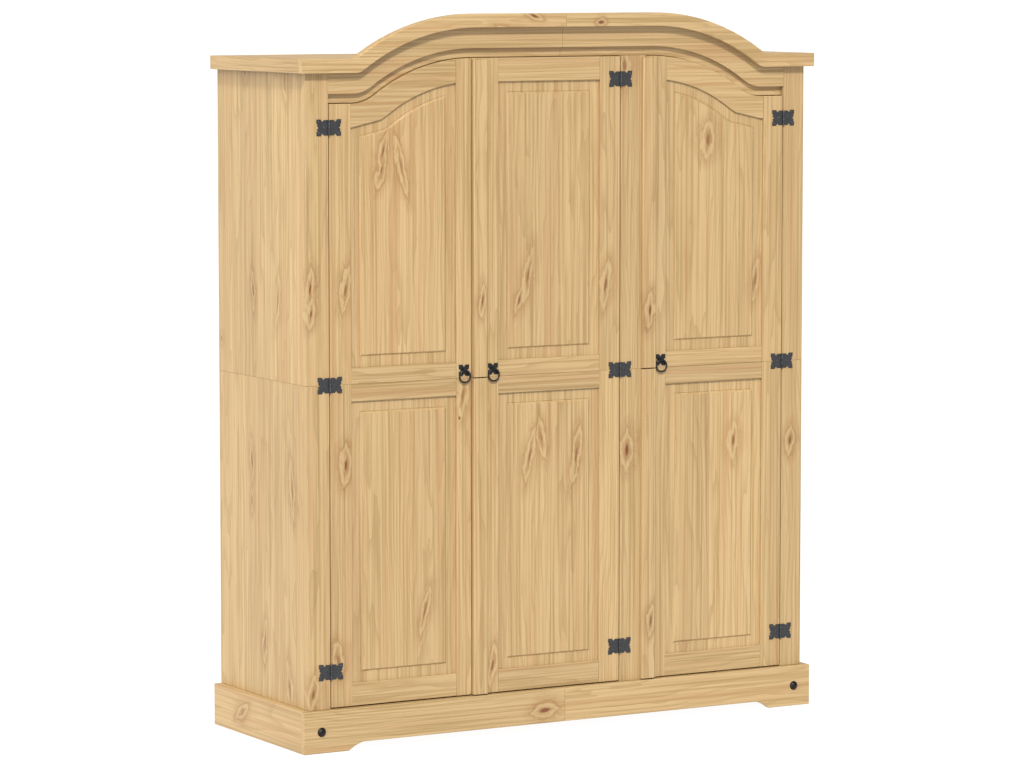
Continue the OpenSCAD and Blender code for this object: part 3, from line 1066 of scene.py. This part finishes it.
def carcass() -> Iterable[Boards]:
    """Lists the boards of the plinth, the carcass and the interior.

    Returns:
        The sets of boards, in the order that they are built.
    """
    left_side = -735.0
    side_knots = (
        Knot(60, 1143, 6, 34, 6, 4.5, 0.6, left_side),
        Knot(-80, 1127, 6, 40, -8, 4.5, 0.55, left_side),
        Knot(242, 1007, 5, 12, 0, 4, 0.5, left_side),
        Knot(-126, 1678, 8, 30, 4, 5, 0.3, left_side),
        Knot(99, 1693, 7, 22, 0, 4, 0.4, left_side),
    )
    low_knots = (
        Knot(72, 708, 6, 40, 3, 4, 0.6, left_side),
        Knot(73, 605, 5, 24, 0, 4, 0.45, left_side),
        Knot(-153, 655, 7, 44, 8, 5, 0.45, left_side),
        Knot(3, 254, 6, 34, -6, 5, 0.5, left_side),
        Knot(-136, 146, 7, 40, 8, 5, 0.45, left_side),
    )
    yield Boards(
        Grain.UPRIGHT_SIDE,
        ("sides_upper", "sides_lower", "partition"),
        stave=96.0,
        knots={"sides_upper": side_knots, "sides_lower": low_knots},
    )
    yield Boards(
        Grain.UPRIGHT_FRONT,
        ("frame_stiles_upper", "frame_stiles_lower"),
        tones={"frame_stiles_upper": 0.95},
        knots={
            "frame_stiles_upper": (
                Knot(-724, 1164, 6, 30, 8, 5, 0.6),
                Knot(-722, 1102, 6, 22, 8, 5, 0.55),
                Knot(185, 1706, 12, 34, 4, 4, 0.4),
            ),
            "frame_stiles_lower": (
                Knot(-720, 148, 8, 26, 8, 5, 0.5),
                Knot(194, 712, 11, 34, 3, 4.5, 0.65),
                Knot(699, 710, 8, 26, 6, 4.5, 0.55),
            ),
        },
    )
    yield Boards(
        Grain.LEVEL_FRONT,
        ("plinth_front_left", "plinth_front_right", "plinth_back"),
        edge=1.6,
        knots={"plinth_front_left": (Knot(54, -60, 13, 34, 6, 3.4, 0.6),)},
    )
    yield Boards(
        Grain.LEVEL_SIDE,
        ("plinth_sides", "cornice_returns", "shelf_cleats", "door_stops"),
        knots={"plinth_sides": (Knot(56, 98, 16, 50, -30, 2.4, 0.2, -755.0),)},
    )
    yield Boards(
        Grain.SHELF,
        ("floor_board", "roof_board", "hat_shelf", "side_shelves"),
        stave=96.0,
        # Painted light: the roof board's tone is raised so its up-facing face looks lit from above
        tones={"roof_board": 1.16},
    )
    yield Boards(
        Grain.LEVEL_FRONT,
        ("arch_fascia_left", "arch_fascia_right", "arch_rails", "arch_stops"),
        tones={"arch_fascia_left": 1.04, "arch_fascia_right": 1.04},
        knots={
            "arch_fascia_left": (
                Knot(1834, -95, 7, 26, -20, 3, 0.6),
                Knot(1787, -150, 13, 60, -24, 2.6, 0.25),
            ),
            "arch_fascia_right": (Knot(1817, 102, 9, 18, 0, 2.6, 0.6),),
        },
    )
    yield Boards(
        Grain.UPRIGHT_FRONT,
        ("back_upper", "back_lower"),
        stave=1200.0,
        edge=0.4,
        finish=PinePlywood,
        surface="rotary_cut_plywood",
    )


def door_boards() -> Iterable[Boards]:
    """Lists the stiles, rails, battens and strips of the doors.

    Returns:
        The sets of boards, in the order that they are built.
    """
    knots = {
        "left_door_stiles_upper": (Knot(-626, 1158, 7, 34, 8, 5, 0.5),),
        "left_door_stiles_lower": (
            Knot(-626, 720, 8, 30, 4, 5, 0.6),
            Knot(-650, 230, 9, 26, -8, 5, 0.35),
            Knot(-302, 821, 5, 9, 0, 3, 0.95),
            Knot(-292, 880, 9, 40, 6, 4, 0.35),
        ),
        "middle_door_stiles_upper": (Knot(128, 1143, 8, 40, 10, 4.5, 0.5),),
        "middle_door_stiles_lower": (Knot(-206, 181, 6, 34, 8, 4.5, 0.55),),
        "middle_strip": (Knot(-240, 1118, 6, 30, 4, 4, 0.5),),
        "right_strip": (Knot(257, 1073, 8, 30, 6, 4.5, 0.6), Knot(262, 261, 7, 30, 6, 4, 0.5)),
    }
    yield Boards(
        Grain.UPRIGHT_FRONT,
        tuple(f"{d}_door_stiles_{h}" for d in DOORS for h in ("upper", "lower")),
        edge=1.1,
        knots=knots,
    )
    yield Boards(
        Grain.LEVEL_FRONT,
        tuple(f"{d}_door_{p}" for d in DOORS for p in ("rails_upper", "rails_lower", "seam_batten")),
        edge=1.6,
        tones={f"{d}_door_rails_lower": 0.95 for d in DOORS},
    )
    yield Boards(Grain.UPRIGHT_FRONT, ("middle_strip", "right_strip"), edge=0.5, knots=knots)


def panels() -> Iterable[FieldedPanel]:
    """Lists the six door panels with their knots.

    Returns:
        The panels, from left to right.
    """
    yield FieldedPanel(
        "left",
        "upper",
        (
            Knot(-517, 1501, 6, 30, 14, 5, 0.5),
            Knot(-522, 1454, 6, 24, 14, 5.5, 0.45),
            Knot(-466, 1462, 6, 44, -14, 5, 0.3),
        ),
    )
    yield FieldedPanel("left", "lower", (Knot(-400, 337, 7, 44, 14, 4, 0.4),))
    yield FieldedPanel(
        "middle", "upper", (Knot(-100, 1176, 7, 44, 10, 4.5, 0.4), Knot(-126, 1114, 6, 26, 16, 4, 0.5))
    )
    yield FieldedPanel(
        "middle",
        "lower",
        (
            Knot(-94, 715, 7, 44, 12, 4.5, 0.4),
            Knot(43, 707, 7, 48, 8, 4.5, 0.45),
            Knot(-60, 760, 6, 34, -8, 4.5, 0.3),
        ),
    )
    yield FieldedPanel(
        "right", "upper", (Knot(440, 1509, 13, 34, 4, 4, 0.4), Knot(590, 1138, 7, 40, 8, 4, 0.35))
    )
    yield FieldedPanel("right", "lower", (Knot(522, 719, 9, 34, 4, 4, 0.5),))


def main() -> None:
    """Builds the armoire and its studio."""
    logging.basicConfig(level=logging.INFO, format="%(name)s: %(message)s")
    for boards in (*carcass(), *door_boards()):
        boards.build()
    for panel in panels():
        panel.build()
    Ironwork().build()
    dress(frame["nodes"]["hanging_rail"], DrawnSteel().make())
    Studio().build()


if __name__ == "__main__":
    main()
